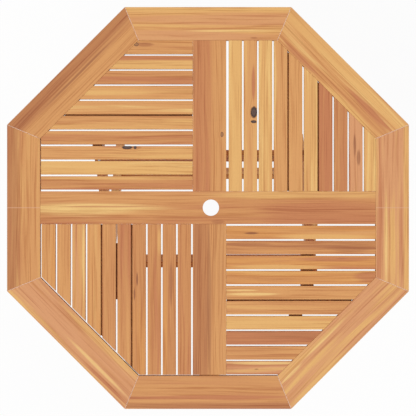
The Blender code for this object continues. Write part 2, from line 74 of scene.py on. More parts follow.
# The darkest, the main and the lightest tone of each board. Two slats that share
# a batten have three tones each, the one nearer the rail first.
BOARD_TONES = {
    "rim_north": ["amber honey gold"],
    "rim_north_east": ["amber honey straw"],
    "rim_east": ["russet rose gold"],
    "rim_south_east": ["amber rose gold"],
    "rim_south": ["russet amber honey"],
    "rim_south_west": ["amber rose gold"],
    "rim_west": ["russet amber gold"],
    "rim_north_west": ["brown amber honey"],
    "cross_rail": ["russet amber honey"],
    "north_rail": ["russet amber honey"],
    "south_rail": ["brown amber honey"],
    "nw_slat_01": ["russet amber honey"],
    "nw_slat_02": ["gold gold straw"],
    "nw_slat_03": ["honey honey gold"],
    "nw_slat_04": ["russet amber honey"],
    "nw_slats_05_06_on_batten": ["amber honey gold", "honey honey straw"],
    "nw_slat_07": ["honey honey gold"],
    "nw_slat_08": ["russet amber honey"],
    "nw_slat_09": ["russet amber gold"],
    "nw_slat_10": ["amber honey honey"],
    "ne_slat_01": ["gold gold straw"],
    "ne_slat_02": ["honey honey gold"],
    "ne_slat_03": ["honey gold straw"],
    "ne_slats_04_05_on_batten": ["honey honey straw", "honey honey gold"],
    "ne_slats_06_07_on_batten": ["honey gold straw", "russet russet amber"],
    "ne_slat_08": ["russet amber honey"],
    "ne_slat_09": ["rose rose gold"],
    "ne_slat_10": ["honey gold straw"],
    "sw_slat_01": ["russet amber amber"],
    "sw_slat_02": ["amber amber apricot"],
    "sw_slat_03": ["russet amber honey"],
    "sw_slats_04_05_on_batten": ["amber amber apricot", "russet amber honey"],
    "sw_slats_06_07_on_batten": ["amber amber honey", "apricot honey gold"],
    "sw_slat_08": ["rose honey gold"],
    "sw_slat_09": ["amber honey honey"],
    "sw_slat_10": ["apricot honey honey"],
    "se_slat_01": ["amber apricot honey"],
    "se_slat_02": ["brown amber honey"],
    "se_slat_03": ["russet apricot apricot"],
    "se_slat_04": ["amber apricot gold"],
    "se_slats_05_06_on_batten": ["amber honey honey", "amber honey gold"],
    "se_slat_07": ["honey gold gold"],
    "se_slat_08": ["brown russet amber"],
    "se_slat_09": ["amber honey gold"],
    "se_slat_10": ["russet rose gold"],
    "outer_leg_left": ["russet amber honey"],
    "outer_leg_right": ["russet honey gold"],
    "inner_leg_left": ["amber honey gold"],
    "inner_leg_right": ["russet amber honey"],
    # Painted shade: the outer frame's top bar lies right under the top, and its umber tones are
    # partly its wood and partly the shade of the top over it
    "outer_frame_top_bar": ["umber russet amber"],
    "inner_frame_top_bar": ["brown amber honey"],
    "inner_frame_foot_bar": ["russet honey gold"],
    # Painted shade: the rest blocks lie right under the top, and their umber tones are partly
    # their wood and partly the shade of the top over them
    "rest_block_left": ["umber russet amber"],
    "rest_block_right": ["umber russet amber"],
    "hinge_cleat_left": ["brown russet amber"],
    "slat_cleat_right": ["brown russet amber"],
}
BATTEN_TONES = "russet amber honey"

# Marks in the grain of a board: x, y, half length along the grain, half width, tone, depth
MARKS = {
    "cross_rail": [
        (0.28, 0.038, 0.32, 0.016, "gold", 0.8), (0.36, -0.014, 0.26, 0.05, "russet", 0.8),
        (-0.36, -0.004, 0.26, 0.022, "straw", 1.0), (-0.3, 0.004, 0.16, 0.003, "russet", 0.7),
        (-0.3, 0.034, 0.34, 0.02, "honey", 0.8), (0.03, -0.041, 0.022, 0.006, "brown", 0.7)],
    "north_rail": [
        (-0.026, 0.27, 1.0, 0.034, "russet", 0.6), (0.038, 0.27, 1.0, 0.03, "honey", 0.8),
        (-0.042, 0.4, 0.12, 0.006, "brown", 0.6)],
    "south_rail": [
        (-0.026, -0.28, 1.0, 0.034, "brown", 0.5), (0.004, -0.3, 0.3, 0.008, "umber", 0.4),
        (0.036, -0.28, 1.0, 0.03, "honey", 0.7)],
    "rim_north": [
        (0.0, 0.596, 1.0, 0.014, "gold", 0.9), (0.06, 0.562, 0.36, 0.022, "rose", 0.6),
        (-0.1, 0.512, 0.3, 0.024, "rose", 0.7), (0.08, 0.529, 0.16, 0.005, "straw", 0.8),
        (0.137, 0.508, 0.012, 0.003, "brown", 0.7)],
    "rim_north_west": [
        (-0.412, 0.412, 1.0, 0.04, "brown", 0.6), (-0.368, 0.368, 1.0, 0.034, "honey", 0.8),
        (-0.394, 0.394, 0.18, 0.004, "umber", 0.5)],
    "rim_north_east": [
        (0.41, 0.41, 0.4, 0.026, "gold", 0.7), (0.416, 0.299, 0.12, 0.012, "gold", 0.9),
        (0.486, 0.289, 0.11, 0.014, "russet", 0.9), (0.276, 0.446, 0.08, 0.009, "russet", 0.7)],
    "rim_east": [
        (0.594, 0.0, 1.0, 0.012, "gold", 0.9), (0.55, 0.12, 0.18, 0.03, "rose", 0.9),
        (0.532, -0.1, 0.18, 0.006, "straw", 0.8), (0.512, -0.1, 0.2, 0.01, "russet", 0.5)],
    "rim_south_east": [
        (0.345, -0.391, 0.11, 0.006, "straw", 0.9), (0.25, -0.494, 0.05, 0.006, "straw", 0.8),
        (0.336, -0.504, 0.14, 0.012, "gold", 0.9), (0.44, -0.34, 0.12, 0.02, "rose", 0.8)],
    "rim_south": [
        (0.0, -0.526, 1.0, 0.036, "honey", 0.35), (0.0, -0.566, 0.4, 0.009, "russet", 0.9),
        (0.0, -0.591, 1.0, 0.012, "brown", 0.7)],
    "rim_south_west": [
        (-0.339, -0.466, 0.15, 0.006, "straw", 0.7), (-0.317, -0.407, 0.18, 0.012, "gold", 0.8),
        (-0.46, -0.33, 0.14, 0.03, "rose", 0.9), (-0.3, -0.53, 0.12, 0.006, "russet", 0.8)],
    "rim_west": [
        (-0.588, 0.0, 1.0, 0.032, "brown", 0.65), (-0.524, 0.0, 1.0, 0.036, "honey", 0.7)],
    "nw_slat_01": [(-0.25, 0.089, 0.3, 0.006, "gold", 0.8)],
    "nw_slat_03": [
        (-0.285, 0.183, 0.04, 0.004, "russet", 0.7), (-0.215, 0.181, 0.02, 0.005, "brown", 0.7)],
    "nw_slat_04": [(-0.25, 0.234, 0.3, 0.005, "gold", 0.8)],
    "nw_slat_09": [
        (-0.14, 0.428, 0.3, 0.018, "gold", 0.95), (-0.16, 0.449, 0.3, 0.01, "russet", 0.9)],
    "nw_slat_10": [(-0.19, 0.489, 0.03, 0.007, "brown", 0.8)],
    "ne_slat_02": [
        (0.1355, 0.37, 0.055, 0.006, "russet", 0.95), (0.145, 0.2, 0.09, 0.008, "gold", 0.6)],
    "ne_slat_09": [
        (0.438, 0.185, 0.034, 0.005, "umber", 0.6), (0.449, 0.15, 0.024, 0.006, "umber", 0.6),
        (0.428, 0.1, 0.1, 0.012, "rose", 0.8)],
    "sw_slats_04_05_on_batten": [
        (-0.2116, -0.214, 0.022, 0.003, "umber", 0.9),
        (-0.2197, -0.258, 0.022, 0.003, "umber", 0.8)],
    "sw_slat_02": [(-0.1107, -0.225, 0.07, 0.005, "brown", 0.9)],
    "sw_slat_03": [(-0.146, -0.1, 0.05, 0.006, "gold", 0.7)],
    "sw_slat_08": [(-0.372, -0.15, 0.16, 0.005, "straw", 0.8)],
    "se_slat_01": [
        (0.13, -0.075, 0.024, 0.004, "umber", 0.8), (0.36, -0.085, 0.16, 0.01, "gold", 0.8)],
    "se_slat_02": [
        (0.43, -0.12, 0.08, 0.018, "brown", 0.6), (0.12, -0.108, 0.08, 0.008, "brown", 0.6)],
    "se_slat_03": [
        (0.4, -0.151, 0.02, 0.003, "umber", 0.9), (0.38, -0.153, 0.14, 0.009, "russet", 0.8),
        (0.2, -0.176, 0.16, 0.008, "gold", 0.8)],
    "se_slat_04": [(0.48, -0.205, 0.05, 0.02, "russet", 0.8)],
    "se_slats_05_06_on_batten": [
        (0.13, -0.257, 0.09, 0.005, "straw", 0.9), (0.1, -0.246, 0.05, 0.003, "straw", 0.8)],
    "se_slat_09": [(0.1, -0.43, 0.1, 0.008, "amber", 0.5)],
    "se_slat_10": [
        (0.17, -0.463, 0.12, 0.005, "straw", 0.8), (0.1445, -0.4815, 0.008, 0.003, "umber", 0.6)],
}

# Knots: x, y, half length along the grain, half width, kind. A dead knot is dark and
# loose at its edge, and a sound one has grown into the wood.
KNOTS = {
    "nw_slat_03": [
        (-0.2415, 0.1808, 0.0145, 0.005, "dead"), (-0.2177, 0.1805, 0.0042, 0.0046, "dead")],
    "nw_slat_10": [(-0.214, 0.4885, 0.007, 0.0052, "sound")],
    "ne_slat_02": [
        (0.137, 0.286, 0.0155, 0.0092, "dead"), (0.1365, 0.2577, 0.0042, 0.0078, "dead")],
    "north_rail": [(0.042, 0.2195, 0.007, 0.0042, "sound")],
}

# A knot's rings from its heart outwards: share of the way, colour
KNOT_RINGS = {
    "dead": ((0.0, "4A3630"), (0.35, "5E463C"), (0.50, "4E382F"), (0.72, "2C1D18"),
             (0.95, "84502F")),
    "sound": ((0.0, "8A5C3C"), (0.35, "AF7C50"), (0.50, "A06C43"), (0.72, "6E4630"),
              (0.95, "B27848")),
}

# The wood's patterns: noise repeats in a metre along the grain, across it and into the board
WANDER_SCALE = (3.0, 10.0, 10.0)  # the grain sways over a third of a metre
WANDER_REACH = 0.016  # 8 mm to each side at most
STREAK_SCALE = (2.0, 62.0, 62.0)  # heartwood streaks 16 mm wide and half a metre long
STREAK_STOPS = (0.34, 0.5, 0.66)  # where the darkest, the main and the lightest tone stand
LINE_SCALE = (4.0, 270.0, 270.0)  # growth lines 4 mm apart and a quarter of a metre long
LINE_TINT = (0.76, 0.62, 0.54)  # what is left of the red, green and blue on a growth line
LINE_EDGE = (0.35, 0.50)  # a growth line fades out between these levels of its noise
# Open pores 0.4 mm wide and 11 mm long, coarser than real ones so that they show close up
PORE_SCALE = (90.0, 2400.0, 2400.0)
PORE_TINT = 0.88
PORE_EDGE = (0.30, 0.45)
GRAIN_DEPTH = 0.0004
GLOSS = (0.60, 0.46)  # roughness on a growth line and between two
BOARD_SEED = 1.7  # the noise's step from board to board
SLAT_SEED = 5.3  # and from one slat of a battened pair to the other
MARK_RAGGED = 1.6  # how far the streaks break up a mark's edge
MARK_EDGE = (1.3, 1.9)  # a mark fades out between these
KNOT_PULL = 0.7  # how far the grain is drawn in at a knot
KNOT_PULL_SPAN = (0.8, 3.4)  # from where to where the pull fades, in knot sizes
KNOT_CRUMBS = 260.0  # crumbs of bark 4 mm across round a knot
KNOT_RAGGED = 0.6
KNOT_RING_SPAN = (0.3, 1.5)  # the rings lie between these
KNOT_EDGE = (1.25, 1.6)  # and the knot fades out between these
MITRE = math.radians(22.5)
JOINT_LINE_FADE = (0.0007, 0.0015)  # a pale joint line fades out between these, on either side
JOINT_LINE_COVER = 0.55
BUTT_JOINT_Y = 0.0009  # where the west and east boards' two lengths meet
SLAT_UNDERSIDE = 0.7335  # just over the battens' upper faces

# The steel's patterns
PLATING_SCALE = 330.0  # patches of plating 3 mm across
PATCH_SPAN = (0.3, 0.7)  # the levels of their noise
PATCH_TINT = (0.86, 1.06)
PATCH_GLOSS = (0.28, 0.46)
ROLLING_SCALE = (40.0, 40.0, 3000.0)  # rolling marks 0.3 mm apart
ROLLING_DEPTH = 0.0002

WELD_DISTANCE = 0.00001
FLAT_ANGLE = math.radians(1)  # faces that turn less are one face
ROUNDED_ANGLE = math.radians(30)  # edges that turn more are rounded, or sharp on a fitting
SHARP_ANGLE = math.radians(50)  # edges that turn more stay sharp in the shading
FACING = 0.9  # how squarely a face looks up or down

SIDES = (("left", -1), ("right", 1))

# Screw heads: depth, rounding, and the recess in shares of the head's radius
SCREW_DEPTH = 0.0016
SCREW_ROUNDING = 0.0003
SCREW_PROUD = 0.0002
RECESS_REACH = 0.62
RECESS_WIDTH = 0.11
RECESS_DEPTH = 0.0009

# Hinge pins' heads, and the screws in the brackets' flanges
RIVET_DEPTH = 0.0025
RIVET_SHANK_RADIUS = 0.0045
RIVET_SHANK_LENGTH = 0.001
FLANGE_SCREW_Y = 0.012
FLANGE_THICKNESS = 0.003

# Scissor bolts, with their washers and nuts
BOLT_HEAD_DEPTH = 0.004  # as deep as the washer and the nut together
BOLT_RADIUS = 0.005
BOLT_END_SHORT = 0.002  # the shank ends this far inside the nut's face
BOLT_DOME = 0.75  # share of the head's depth that is domed
SOCKET_REACH = 0.32  # share of the head's radius
WASHER_DEPTH = 0.001
BROKEN_EDGE = 0.2  # share of a washer's or nut's depth
NUT_RIM = 0.2  # share of the nut's radius, as are the next two
BOLT_END_WITHIN = 0.3
BOLT_END_INSET = 0.25
NUT_DISH = 0.0004
BOLT_END_RISE = 0.0003

# Screws under the top and in the leg frames, from the ends and middles of what they hold
BATTEN_END_RAIL = 0.040  # first screw from the rail
BATTEN_END_RIM = 0.065  # last screw from the rim
BATTEN_SCREW_SIDE = 0.011
BLOCK_SCREW_SIDE = 0.011
BLOCK_SCREW_END = 0.030
CLEAT_SCREW_SIDE = 0.011
BAR_SCREW_SIDE = 0.0105
OUTER_BAR_THICKNESS = 0.018
# Each recess is turned a little further than the last, in radians, as screws end up
FLANGE_SCREW_TURN = 0.4
TOP_SCREW_TURN = 0.7
BAR_SCREW_TURN = 0.5
NUT_TURN = 0.3

FLOOR_SIZE = 60
FLOOR_WHITE = 0.93  # how much of the floor's white hides its shadows
AMBIENT = 0.62
# Lamps: name, turn in degrees, strength, width of the soft light in degrees
LAMPS = (("key_light", (32, -20, 0), 1.15, 25), ("fill_light", (-35, 25, 0), 0.35, 60))
CAMERA_HEIGHT = 5.25
CAMERA_LENS = 130.43
SENSOR_WIDTH = 36

# Sockets of a Mix node that mixes colours, whose names its other kinds share
FACTOR, COLOUR_A, COLOUR_B, MIXED = 0, 6, 7, 2

# What every colour and every length in the panel has
COLOUR = {"subtype": 'COLOR', "size": 3, "min": 0, "max": 1}
LENGTH = {"subtype": 'DISTANCE', "unit": 'LENGTH', "min": 0}


def linear(hex_colour):
    """An sRGB hex colour as the linear values that Blender mixes with."""
    channels = [int(hex_colour[i:i + 2], 16) / 255 for i in (0, 2, 4)]
    return [c / 12.92 if c <= 0.04045 else ((c + 0.055) / 1.055) ** 2.4 for c in channels]


class GARDENTABLE_PG_tones(bpy.types.PropertyGroup):
    """The tones of the oiled wood and of the steel."""
    straw: FloatVectorProperty(
        name="Straw", description="Palest streaks of sapwood", default=linear("EFC57E"), **COLOUR)
    gold: FloatVectorProperty(
        name="Gold", description="Pale golden boards", default=linear("E4B06A"), **COLOUR)
    honey: FloatVectorProperty(
        name="Honey", description="The usual tone of a board", default=linear("D99C5E"), **COLOUR)
    rose: FloatVectorProperty(
        name="Rose", description="Boards with a pink cast", default=linear("D79868"), **COLOUR)
    apricot: FloatVectorProperty(
        name="Apricot", description="Boards of a fuller orange",
        default=linear("D79551"), **COLOUR)
    amber: FloatVectorProperty(
        name="Amber", description="Boards a shade under honey", default=linear("CD8C54"), **COLOUR)
    russet: FloatVectorProperty(
        name="Russet", description="Reddish heartwood", default=linear("C1794D"), **COLOUR)
    brown: FloatVectorProperty(
        name="Brown", description="Brown heartwood", default=linear("B06F43"), **COLOUR)
    umber: FloatVectorProperty(
        name="Umber", description="Dark heartwood and old resin",
        default=linear("8C5232"), **COLOUR)
    # The colour of the pale line laid along each joint of the rim
    pale_joint_line: FloatVectorProperty(
        name="Pale joint line", description="Pale line where two boards meet",
        default=linear("DEAE8E"), **COLOUR)
    steel: FloatVectorProperty(
        name="Steel", description="Zinc-plated steel", default=linear("B9BBBD"), **COLOUR)


class GARDENTABLE_PG_sizes(bpy.types.PropertyGroup):
    """The sizes of rounded edges and fittings."""
    board_edge: FloatProperty(
        name="Board edge", description="Rounding of the top's boards",
        default=0.0008, **LENGTH)
    leg_edge: FloatProperty(
        name="Leg edge", description="Rounding of the legs and their bars",
        default=0.0025, **LENGTH)
    plate_edge: FloatProperty(
        name="Plate edge", description="Rounding of the hinge brackets", default=0.0006, **LENGTH)
    screw_head: FloatProperty(
        name="Screw head", description="Diameter of a countersunk screw head",
        default=0.008, **LENGTH)
    screw_spacing: FloatProperty(
        name="Screw spacing", description="Between screws along a batten",
        subtype='DISTANCE', unit='LENGTH', min=0.02, default=0.085)
    rivet_head: FloatProperty(
        name="Rivet head", description="Diameter of a hinge pin's outer head",
        default=0.016, **LENGTH)
    nut_width: FloatProperty(
        name="Nut width", description="Scissor nut across its corners", default=0.017, **LENGTH)


def node(tree, kind, inputs=(), **settings):
    """Add a node, set its properties, and give its inputs a value or a link.

    The inputs are a dict by name or number, or values in the order of the sockets, and a
    node stands for its first output. A Map Range node's inputs are the value, the span that
    it lies in, and what the two ends of the span become.
    """
    new = tree.nodes.new(kind)
    for name, value in settings.items():
        setattr(new, name, value)
    for key, value in inputs.items() if isinstance(inputs, dict) else enumerate(inputs):
        if isinstance(value, bpy.types.Node):
            value = value.outputs[0]
        if isinstance(value, bpy.types.NodeSocket):
            tree.links.new(value, new.inputs[key])
        else:
            new.inputs[key].default_value = value
    return new


def grain_axes(name):
    """Rows that turn table coordinates to along, across and through a board's grain."""
    if name.startswith("rim_"):
        angle = math.radians(45) * RIM_SIDES.index(name[4:])
        across = Vector((math.cos(angle), math.sin(angle), 0))
        along = Vector((math.sin(angle), -math.cos(angle), 0))
    elif "_leg_" in name:
        along = OUTER_DOWN if name.startswith("outer") else INNER_DOWN
        across = Vector((1, 0, 0))
    elif name.endswith("_bar"):
        along = Vector((1, 0, 0))
        across = OUTER_DOWN if name.startswith("outer") else INNER_DOWN
    elif name.startswith(("nw_", "se_", "cross_")):
        along, across = Vector((1, 0, 0)), Vector((0, 1, 0))
    else:
        along, across = Vector((0, 1, 0)), Vector((-1, 0, 0))
    return Matrix((along, across, along.cross(across)))


def new_material(name):
    """A material of a name, with its node tree and its shader."""
    mat = bpy.data.materials.new(name)
    mat.use_nodes = True
    return mat, mat.node_tree, mat.node_tree.nodes["Principled BSDF"]


def set_stops(ramp, stops):
    """Give a colour ramp its stops, each a position and a linear colour."""
    elements = ramp.color_ramp.elements
    for _ in range(len(stops) - len(elements)):
        elements.new(0.5)
    for element, (position, colour) in zip(elements, stops):
        element.position = position
        element.color = (*colour, 1)


def reach_from(tree, local, middle, half_length, half_width):
    """The way from the middle of a mark or knot, and the same in shares of its half sizes."""
    away = node(tree, "ShaderNodeVectorMath", (local, middle), operation='SUBTRACT')
    scaled = node(tree, "ShaderNodeVectorMath", (away, (1 / half_length, 1 / half_width, 0)),
                  operation='MULTIPLY')
    reach = node(tree, "ShaderNodeVectorMath", (scaled,), operation='LENGTH')
    return away, reach.outputs["Value"]


def pair_masks(tree, name, axes, parts):
    """Where the outer slat of a battened pair lies, and where its batten lies."""
    low, high = map(Vector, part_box(name))
    middle = axes @ ((low + high) / 2)
    outwards = 'GREATER_THAN' if name[:2] in ("nw", "sw") else 'LESS_THAN'
    outer_slat = node(tree, "ShaderNodeMath", (parts.outputs["Y"], middle.y), operation=outwards)
    batten = node(tree, "ShaderNodeMath", (parts.outputs["Z"], SLAT_UNDERSIDE),
                  operation='LESS_THAN')
    return outer_slat, batten


def run_of_grain(tree, local, offset, knots):
    """Board coordinates that follow the grain as it wanders and parts round knots."""
    slow = node(tree, "ShaderNodeVectorMath", (local, WANDER_SCALE), operation='MULTIPLY')
    wander = node(tree, "ShaderNodeTexNoise",
                  {"Vector": slow, "W": offset, "Scale": 1.0, "Detail": 1.0},
                  noise_dimensions='4D')
    shift = node(tree, "ShaderNodeMath", (wander, WANDER_REACH, -WANDER_REACH / 2),
                 operation='MULTIPLY_ADD')
    sideways = node(tree, "ShaderNodeCombineXYZ", {"Y": shift})
    grain = node(tree, "ShaderNodeVectorMath", (local, sideways), operation='ADD')
    # The pattern is drawn in towards a knot's middle line, so its lines part there
    for _, away, reach in knots:
        pull = node(tree, "ShaderNodeMapRange", (reach, *KNOT_PULL_SPAN, KNOT_PULL, 0.0),
                    interpolation_type='SMOOTHSTEP')
        across = node(tree, "ShaderNodeVectorMath", (away, (0, 1, 0)), operation='MULTIPLY')
        inwards = node(tree, "ShaderNodeVectorMath", {0: across, "Scale": pull}, operation='SCALE')
        grain = node(tree, "ShaderNodeVectorMath", (grain, inwards), operation='SUBTRACT')
    return grain


def heartwood(tree, name, tones, streaks, masks):
    """A board's three tones, spread by its streaks. A second slat and a batten differ."""
    sets = BOARD_TONES[name]
    colour = None
    for mask, words in zip((None, *masks), sets + [BATTEN_TONES] * (len(sets) - 1)):
        ramp = node(tree, "ShaderNodeValToRGB", (streaks,))
        set_stops(ramp, [(position, getattr(tones, word))
                         for position, word in zip(STREAK_STOPS, words.split())])
        if mask is None:
            colour = ramp
        else:
            colour = node(tree, "ShaderNodeMix", {FACTOR: mask, COLOUR_A: colour, COLOUR_B: ramp},
                          data_type='RGBA').outputs[MIXED]
    return colour


def with_marks(tree, name, tones, axes, local, streaks, colour):
    """Lay a board's marks over its colour, with edges that the streaks break up."""
    for x, y, half_length, half_width, tone, depth in MARKS.get(name, ()):
        _, reach = reach_from(tree, local, axes @ Vector((x, y, 0)), half_length, half_width)
        ragged = node(tree, "ShaderNodeMath", (streaks, MARK_RAGGED, reach),
                      operation='MULTIPLY_ADD')
        mask = node(tree, "ShaderNodeMapRange", (ragged, *MARK_EDGE, depth, 0.0),
                    interpolation_type='SMOOTHSTEP')
        colour = node(tree, "ShaderNodeMix",
                      {FACTOR: mask, COLOUR_A: colour, COLOUR_B: (*getattr(tones, tone), 1)},
                      data_type='RGBA').outputs[MIXED]
    return colour


def with_knots(tree, local, knots, colour):
    """Lay a board's knots over its colour, in rings with a crumbled edge."""
    for kind, _, reach in knots:
        rough = node(tree, "ShaderNodeTexNoise",
                     {"Vector": local, "Scale": KNOT_CRUMBS, "Detail": 3.0})
        ragged = node(tree, "ShaderNodeMath", (rough, KNOT_RAGGED, reach),
                      operation='MULTIPLY_ADD')
        rings = node(tree, "ShaderNodeMapRange", (ragged, *KNOT_RING_SPAN))
        core = node(tree, "ShaderNodeValToRGB", (rings,))
        set_stops(core, [(position, linear(hex_colour))
                         for position, hex_colour in KNOT_RINGS[kind]])
        mask = node(tree, "ShaderNodeMapRange", (ragged, *KNOT_EDGE, 1.0, 0.0),
                    interpolation_type='SMOOTHSTEP')
        colour = node(tree, "ShaderNodeMix", {FACTOR: mask, COLOUR_A: colour, COLOUR_B: core},
                      data_type='RGBA').outputs[MIXED]
    return colour


def with_pale_joint_lines(tree, name, tones, parts, colour):
    """Lay a pale line over a rim board at each mitre and butt joint."""
    ends = node(tree, "ShaderNodeMath", (parts.outputs["X"],), operation='ABSOLUTE')
    near = node(tree, "ShaderNodeMath", (ends, -math.cos(MITRE)), operation='MULTIPLY')
    gap = node(tree, "ShaderNodeMath", (parts.outputs["Y"], math.sin(MITRE), near),
               operation='MULTIPLY_ADD')
    if name in ("rim_west", "rim_east"):
        # These two boards are glued from two lengths
        along = BUTT_JOINT_Y if name == "rim_east" else -BUTT_JOINT_Y
        butt = node(tree, "ShaderNodeMath", (parts.outputs["X"], along), operation='ADD')
        butt = node(tree, "ShaderNodeMath", (butt,), operation='ABSOLUTE')
        gap = node(tree, "ShaderNodeMath", (gap, butt), operation='MINIMUM')
    joint_mask = node(tree, "ShaderNodeMapRange", (gap, *JOINT_LINE_FADE, JOINT_LINE_COVER, 0.0),
                interpolation_type='SMOOTHSTEP')
    return node(tree, "ShaderNodeMix",
                {FACTOR: joint_mask, COLOUR_A: colour, COLOUR_B: (*tones.pale_joint_line, 1)},
                data_type='RGBA').outputs[MIXED]


def oiled_acacia(name, tones):
    """Planed and oiled acacia: drifting heartwood tones, fine dark pores, a satin face.

    The oil film is thin and uneven, so the gloss changes along the fibres.
    """
    mat, tree, shader = new_material("oiled_acacia_" + name)
    axes = grain_axes(name)
    place = node(tree, "ShaderNodeTexCoord").outputs["Object"]
    local = node(tree, "ShaderNodeMapping",
                 {"Vector": place, "Rotation": axes.to_euler('XYZ')}).outputs["Vector"]
    parts = node(tree, "ShaderNodeSeparateXYZ", (local,))

    masks = ()
    offset = BOARD_SEED * list(BOARD_TONES).index(name)
    if len(BOARD_TONES[name]) == 2:
        masks = pair_masks(tree, name, axes, parts)
        offset = node(tree, "ShaderNodeMath", (masks[0], SLAT_SEED, offset),
                      operation='MULTIPLY_ADD')
    knots = [(kind, *reach_from(tree, local, axes @ Vector((x, y, 0)), half_length, half_width))
             for x, y, half_length, half_width, kind in KNOTS.get(name, ())]
    grain = run_of_grain(tree, local, offset, knots)

    wide = node(tree, "ShaderNodeVectorMath", (grain, STREAK_SCALE), operation='MULTIPLY')
    streaks = node(tree, "ShaderNodeTexNoise",
                   {"Vector": wide, "W": offset, "Scale": 1.0, "Detail": 4.0, "Roughness": 0.55},
                   noise_dimensions='4D')
    lines = node(tree, "ShaderNodeVectorMath", (grain, LINE_SCALE), operation='MULTIPLY')
    growth = node(tree, "ShaderNodeTexNoise",
                  {"Vector": lines, "W": offset, "Scale": 1.0, "Detail": 3.0, "Roughness": 0.6},
                  noise_dimensions='4D')
    thin = node(tree, "ShaderNodeVectorMath", (grain, PORE_SCALE), operation='MULTIPLY')
    pores = node(tree, "ShaderNodeTexNoise", {"Vector": thin, "Scale": 1.0, "Detail": 1.0})

    colour = heartwood(tree, name, tones, streaks, masks)
    colour = with_marks(tree, name, tones, axes, local, streaks, colour)
    colour = with_knots(tree, local, knots, colour)
    # Growth lines darken the wood and turn it redder, and pores darken it a little
    line = node(tree, "ShaderNodeMapRange", (growth, *LINE_EDGE, 1.0, 0.0))
    colour = node(tree, "ShaderNodeMix",
                  {FACTOR: line, COLOUR_A: colour, COLOUR_B: (*LINE_TINT, 1)}, data_type='RGBA',
                  blend_type='MULTIPLY').outputs[MIXED]
    pore_dark = node(tree, "ShaderNodeMapRange", (pores, *PORE_EDGE, PORE_TINT, 1.0))
    colour = node(tree, "ShaderNodeVectorMath", {0: colour, "Scale": pore_dark},
                  operation='SCALE').outputs[0]
    if name.startswith("rim_"):
        colour = with_pale_joint_lines(tree, name, tones, parts, colour)

    gloss = node(tree, "ShaderNodeMapRange", (growth, 0.30, 0.70, *GLOSS))
    height = node(tree, "ShaderNodeMath", (growth, 0.5, pore_dark), operation='MULTIPLY_ADD')
    bump = node(tree, "ShaderNodeBump",
                {"Height": height, "Strength": 0.35, "Distance": GRAIN_DEPTH})
    tree.links.new(colour, shader.inputs["Base Color"])
    tree.links.new(gloss.outputs[0], shader.inputs["Roughness"])
    tree.links.new(bump.outputs[0], shader.inputs["Normal"])
    shader.inputs["IOR"].default_value = 1.45
    return mat


def zinc_plated_steel(tones):
    """Zinc-plated steel: a cool grey with a faint mottled sheen where the plating varies."""
    name = "zinc_plated_steel_fittings"
    mat = bpy.data.materials.get(name)
    if mat:
        return mat
    mat, tree, shader = new_material(name)
    place = node(tree, "ShaderNodeTexCoord").outputs["Object"]
    patches = node(tree, "ShaderNodeTexNoise",
                   {"Vector": place, "Scale": PLATING_SCALE, "Detail": 3.0})
    rolled = node(tree, "ShaderNodeVectorMath", (place, ROLLING_SCALE), operation='MULTIPLY')
    marks = node(tree, "ShaderNodeTexNoise", {"Vector": rolled, "Scale": 1.0, "Detail": 2.0})
    tint = node(tree, "ShaderNodeMapRange", (patches, *PATCH_SPAN, *PATCH_TINT))
    colour = node(tree, "ShaderNodeVectorMath", {0: (*tones.steel,), "Scale": tint},
                  operation='SCALE')
    rough = node(tree, "ShaderNodeMapRange", (patches, *PATCH_SPAN, *PATCH_GLOSS))
    bump = node(tree, "ShaderNodeBump",
                {"Height": marks, "Strength": 0.2, "Distance": ROLLING_DEPTH})
    tree.links.new(colour.outputs[0], shader.inputs["Base Color"])
    tree.links.new(rough.outputs[0], shader.inputs["Roughness"])
    tree.links.new(bump.outputs[0], shader.inputs["Normal"])
    shader.inputs["Metallic"].default_value = 1.0
    return mat


def smooth_faces():
    """A node group that shades faces smooth and keeps sharp edges sharp."""
    name = "smooth_rounded_edges"
    group = bpy.data.node_groups.get(name)
    if group:
        return group
    group = bpy.data.node_groups.new(name, 'GeometryNodeTree')
    for way in ('INPUT', 'OUTPUT'):
        group.interface.new_socket("Geometry", in_out=way, socket_type='NodeSocketGeometry')
    start = node(group, "NodeGroupInput")
    smooth = node(group, "GeometryNodeSetShadeSmooth", {"Geometry": start})
    bend = node(group, "GeometryNodeInputMeshEdgeAngle")
    sharp = node(group, "FunctionNodeCompare", (bend, SHARP_ANGLE), data_type='FLOAT',
                 operation='GREATER_THAN')
    edges = node(group, "GeometryNodeSetShadeSmooth",
                 {"Geometry": smooth, "Selection": sharp, "Shade Smooth": False}, domain='EDGE')
    node(group, "NodeGroupOutput", (edges,))
    return group


def dress(name, mat, rounding):
    """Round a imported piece's edges and give it its material."""
    obj = bpy.data.objects[name]
    weld = obj.modifiers.new("weld", 'WELD')
    weld.merge_threshold = WELD_DISTANCE
    flat = obj.modifiers.new("flat_faces", 'DECIMATE')
    flat.decimate_type = 'DISSOLVE'
    flat.angle_limit = FLAT_ANGLE
    bevel = obj.modifiers.new("rounded_edges", 'BEVEL')
    bevel.width = rounding
    bevel.segments = 2
    bevel.limit_method = 'ANGLE'
    bevel.angle_limit = ROUNDED_ANGLE
    smooth = obj.modifiers.new("smooth", 'NODES')
    smooth.node_group = smooth_faces()
    normals = obj.modifiers.new("even_normals", 'WEIGHTED_NORMAL')
    normals.keep_sharp = True
    for slot in obj.material_slots:
        slot.material = mat


def oil_boards(context, names, edge="board_edge"):
    """Round packed boards' edges by one of the sizes, and oil each board in its own tones."""
    rounding = getattr(context.scene.garden_table_sizes, edge)
    for name in names:
        dress(name, oiled_acacia(name, context.scene.garden_table_tones), rounding)


def looks_up(face):
    """Whether a face of a new fitting looks up."""
    return face.normal.z > FACING


def looks_down(face):
    """Whether a face of a new fitting looks down."""
    return face.normal.z < -FACING


def select_faces(obj, wanted):
    """Enter edit mode with only the faces that pass a test selected."""
    bpy.ops.object.mode_set(mode='EDIT')
    bpy.ops.mesh.select_mode(type='FACE')
    bpy.ops.mesh.select_all(action='DESELECT')
    bpy.ops.object.mode_set(mode='OBJECT')
    for face in obj.data.polygons:
        face.select = wanted(face)
    bpy.ops.object.mode_set(mode='EDIT')


